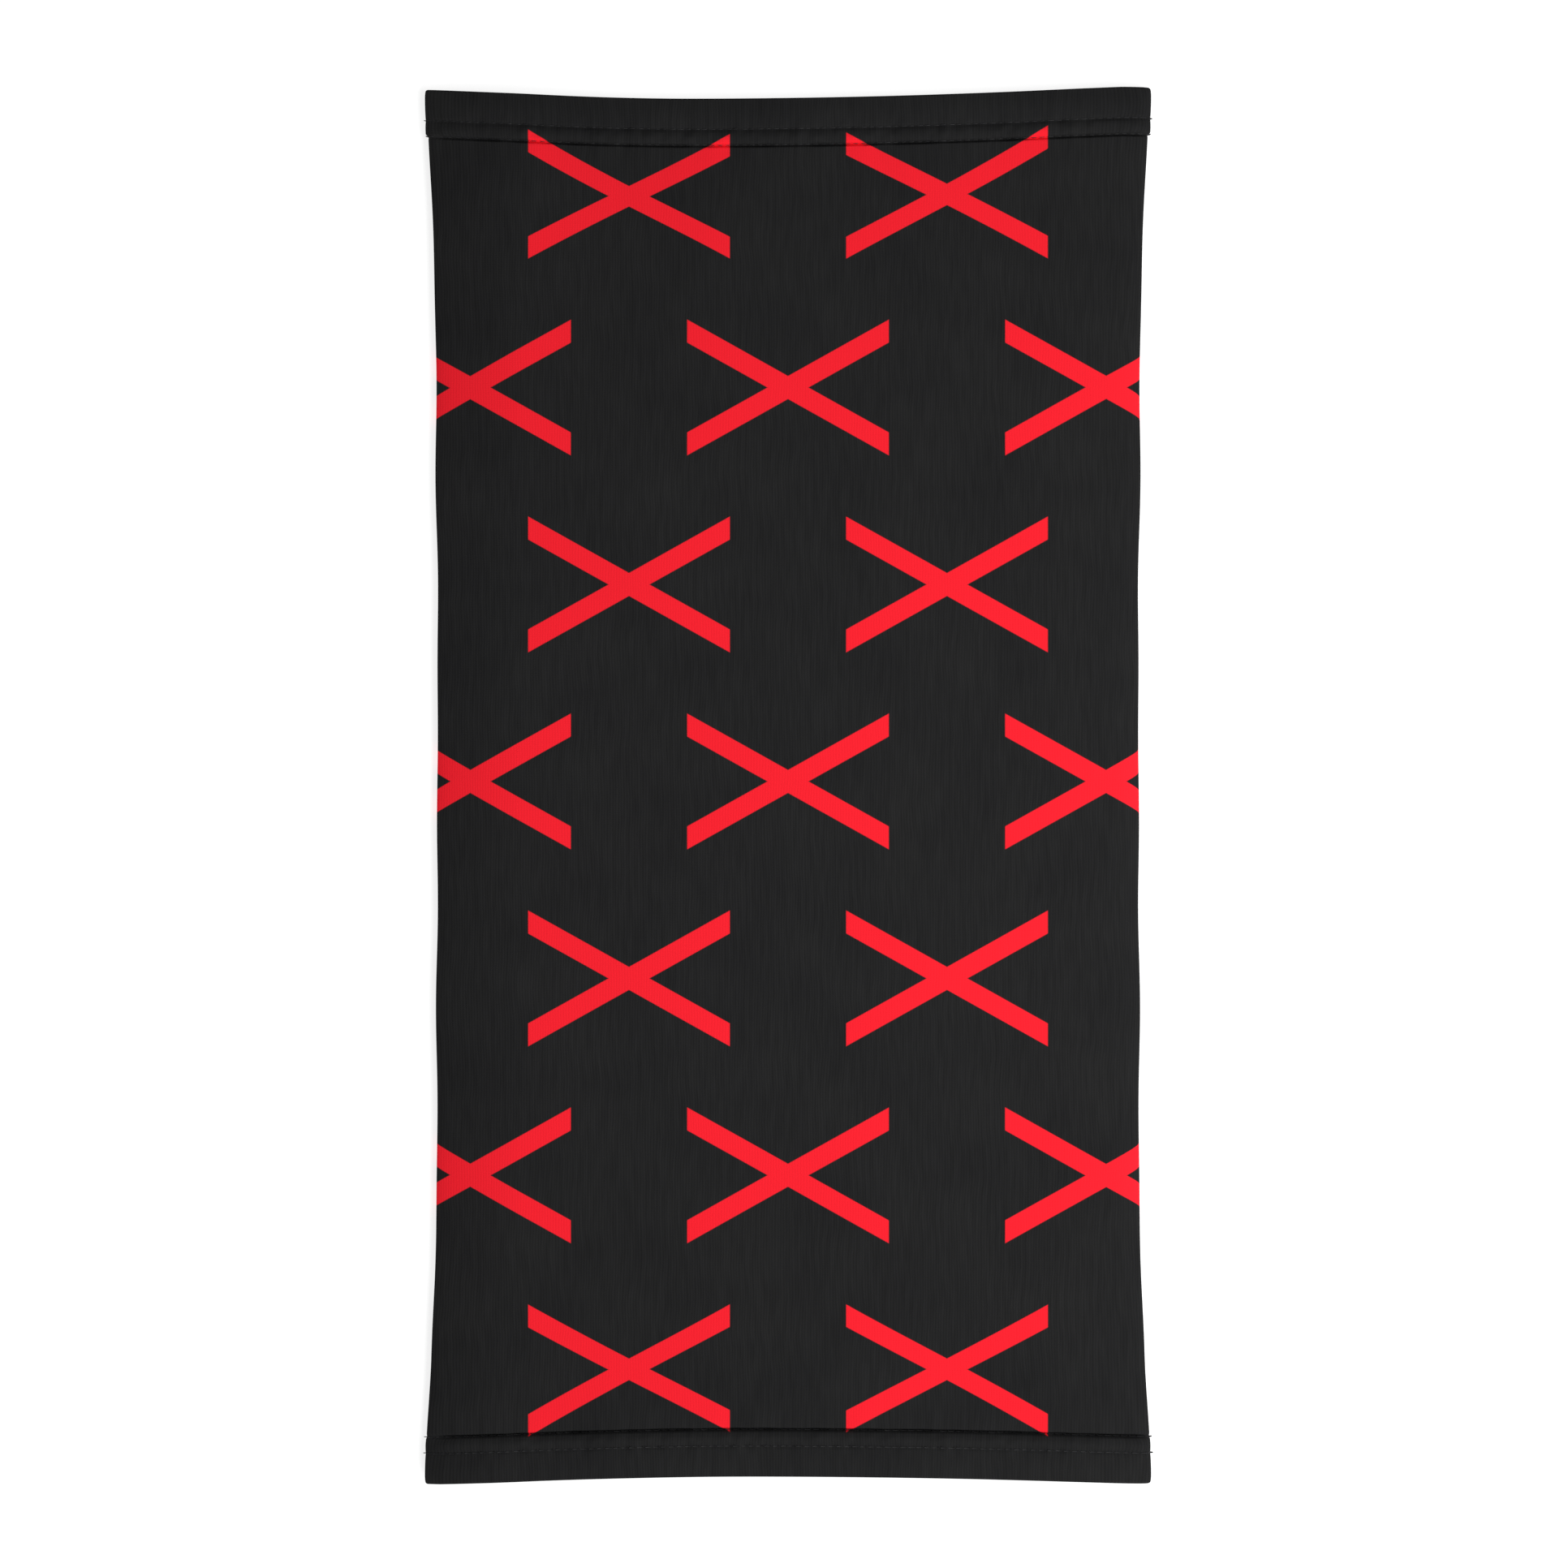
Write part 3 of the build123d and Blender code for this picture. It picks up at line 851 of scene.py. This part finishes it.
def allowancePly(name, low, seed):
    # one ply of the seam allowance, laid to the left on the inside, rounded where it leaves the seam
    y = np.linspace(-seamEndY, seamEndY, 190)
    thick, out, rounding = tube["cloth"], backSeam["allowance"], backSeam["edgeRounding"]
    profile = []
    for a in np.linspace(-math.pi / 2, math.pi / 2, 7):
        profile.append((-backSeam["foldOut"] + thick / 2 * math.cos(a), thick / 2 * (1 + math.sin(a))))
    flat = np.linspace(-1.2, -out + 0.2, 7)
    profile += [(x, thick) for x in flat]
    profile += [(-out, thick - rounding), (-out, rounding)]
    profile += [(x, 0.0) for x in flat[::-1]]
    rings = []
    for x, up in profile:
        edge = smooth(np.array(-x), 1.5, out) * backSeam["wander"]
        drift = x + edge * ripple(y, backSeam["edgeWaves"], seed)
        lift = low + up + 0.12 * edge * (1 + ripple(y, backSeam["liftWaves"], seed + 1))
        rings.append(seamLine(np.minimum(drift, 0.0), y, lift))
    shape = np.array(rings)
    wide, long = shape.shape[:2]
    index = np.arange(wide * long).reshape(wide, long)
    around = np.roll(index, -1, axis=0)
    quads = np.stack([index[:, :-1], index[:, 1:], around[:, 1:], around[:, :-1]], -1)
    quads = quads.reshape(-1, 4).tolist()
    ends = [index[:, 0].tolist(), index[::-1, -1].tolist()]
    mesh = bpy.data.meshes.new(name)
    mesh.from_pydata((shape.reshape(-1, 3) * mm).tolist(), [], quads + ends)
    mesh.materials.append(whiteCloth)
    mesh.polygons.foreach_set("use_smooth", [True] * len(quads) + [False] * 2)
    onCloth = np.stack([np.repeat([p[0] for p in profile], long), np.tile(y, wide)], -1)
    corners = [v for p in mesh.polygons for v in p.vertices]
    layer = mesh.uv_layers.new(name="acrossAndAlong")
    layer.data.foreach_set("uv", onCloth[corners].reshape(-1).astype(np.float32))
    mesh.update()
    return mesh


def overlockLoops(onTop, top, bottom):
    # a looper thread from the needle line out round the trimmed edge, once for every stitch
    step, width, half = backSeam["stitch"], backSeam["allowance"], backSeam["looperThread"] / 2
    level = top + half if onTop else bottom - half * 0.2
    arched = level + (backSeam["loopArch"] if onTop else 0)
    oneLoop = np.array([
        (-backSeam["needleAt"], 0.0, level),
        (-width * 0.5, 0.16 * step, arched),
        (-width + 0.1, 0.32 * step, level),
        (-width - backSeam["loopPastEdge"], 0.5 * step, (top + bottom) / 2),
        (-width + 0.1, 0.66 * step, level),
        (-width * 0.5, 0.83 * step, arched),
    ])
    starts = -seamEndY + 1.5 + step * np.arange(int(2 * seamEndY / step) - 1)
    path = np.concatenate([oneLoop + (0.0, y, 0.0) for y in starts])
    return seamLine(path[:, 0], path[:, 1], path[:, 2])


lowerPlyAt = tube["cloth"] + backSeam["plyLift"]
upperPlyAt = lowerPlyAt + tube["cloth"] + backSeam["plyLift"]
allowance = joined("seamAllowance", [
    allowancePly("lowerPly", lowerPlyAt, backSeam["seed"]),
    allowancePly("upperPly", upperPlyAt, backSeam["seed"] + 6),
])
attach(allowance, "back_centre")
topLevel = upperPlyAt + tube["cloth"]
seamThreads = []
for name, node, onTop in (("upperLooperThread", "seam_upper_looper_thread", True),
                          ("lowerLooperThread", "seam_lower_looper_thread", False)):
    guide = guideLine(name, overlockLoops(onTop, topLevel, lowerPlyAt))
    mesh = sew(guide, threadPath, {"Thread width": backSeam["looperThread"] * mm, "Thread": overlockThread})
    piece = joined(name, [mesh])
    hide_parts(node)
    seamThreads.append(piece)
needleY = np.linspace(-seamEndY + 1.5, seamEndY - 1.5, 220)
needleLine = seamLine(np.full(220, -backSeam["needleAt"]), needleY, np.full(220, topLevel + 0.05))
needleMesh = sew(guideLine("seamNeedleThread", needleLine), stitchRow, {
    "Spacing": backSeam["stitch"] * mm,
    "Stitch length": backSeam["stitchLength"] * mm,
    "Thread width": backSeam["thread"] * mm,
    "Arch": hemStitching["arch"] * mm,
    "Thread": overlockThread,
})
seamThreads.append(joined("seamNeedleThread", [needleMesh]))
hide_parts("seam_needle_thread")
for piece in seamThreads:
    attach(piece, "back_centre")
print("back seam sewn")

for section in allSections:
    first, last = section["span"]
    alongWith = list(hemThreads[section["name"]])
    if section["name"] == "leftBackMiddle":
        alongWith += [allowance, *seamThreads]

studio = {
    "floorColour": "#B4B4B4",
    "floorGlow": 0.80,
    "floorDrop": 0.15,  # millimetres the floor lies below the cloth's lowest line
    "frameWidth": 0.5491,  # what the camera takes in, at the cloth
    "cameraHeight": 2.0,
    "cameraAt": (-0.0014, 0.0007),
    "skyStrength": 0.22,
    "lights": {
        "overheadSoftbox": {"at": (0.34, -0.03, 0.60), "size": 0.5, "power": 4.2},
        "sideSoftbox": {"at": (0.5, -1.6, 0.95), "size": 0.7, "power": 16.0},
    },
}


def layFloor():
    # opal acrylic light table: even and almost white, glowing from below
    material, tree, shader = newMaterial("opalAcrylicTable")
    shader.inputs["Base Color"].default_value = linearColour(studio["floorColour"])
    shader.inputs["Roughness"].default_value = 0.9
    shader.inputs["Specular IOR Level"].default_value = 0.1
    shader.inputs["Emission Color"].default_value = (1, 1, 1, 1)
    shader.inputs["Emission Strength"].default_value = studio["floorGlow"]
    low = -studio["floorDrop"] * mm
    mesh = bpy.data.meshes.new(floorName)
    mesh.from_pydata([(-4, -4, low), (4, -4, low), (4, 4, low), (-4, 4, low)], [], [(0, 1, 2, 3)])
    mesh.materials.append(material)
    floor = bpy.data.objects.new(floorName, mesh)
    bpy.context.scene.collection.objects.link(floor)


def hangLights():
    world = bpy.data.worlds.new("softStudio")
    world.use_nodes = True
    sky = world.node_tree.nodes["Background"]
    sky.inputs["Color"].default_value = (1, 1, 1, 1)
    # a white backdrop where the camera looks past the table, and soft light on everything else
    seen = addNode(world.node_tree, "ShaderNodeLightPath")
    strength = addNode(world.node_tree, "ShaderNodeMapRange", {
        "Value": seen.outputs["Is Camera Ray"], "To Min": studio["skyStrength"], "To Max": 1.0,
    })
    world.node_tree.links.new(strength.outputs[0], sky.inputs["Strength"])
    bpy.context.scene.world = world
    for name, given in studio["lights"].items():
        light = bpy.data.lights.new(name, "AREA")
        light.energy = given["power"]
        light.size = given["size"]
        softbox = bpy.data.objects.new(name, light)
        x, y, z = softbox.location = given["at"]
        softbox.rotation_euler = (math.atan2(math.hypot(x, y), z), 0, math.atan2(y, x) + math.pi / 2)
        bpy.context.scene.collection.objects.link(softbox)


def setCamera():
    lens = bpy.data.cameras.new("overheadCamera")
    lens.sensor_width = 36
    lens.lens = 36 * (studio["cameraHeight"] - loftHeight * mm) / studio["frameWidth"]
    camera = bpy.data.objects.new("overheadCamera", lens)
    camera.location = (*studio["cameraAt"], studio["cameraHeight"])
    bpy.context.scene.collection.objects.link(camera)
    bpy.context.scene.camera = camera


layFloor()
hangLights()
setCamera()
print("studio ready")
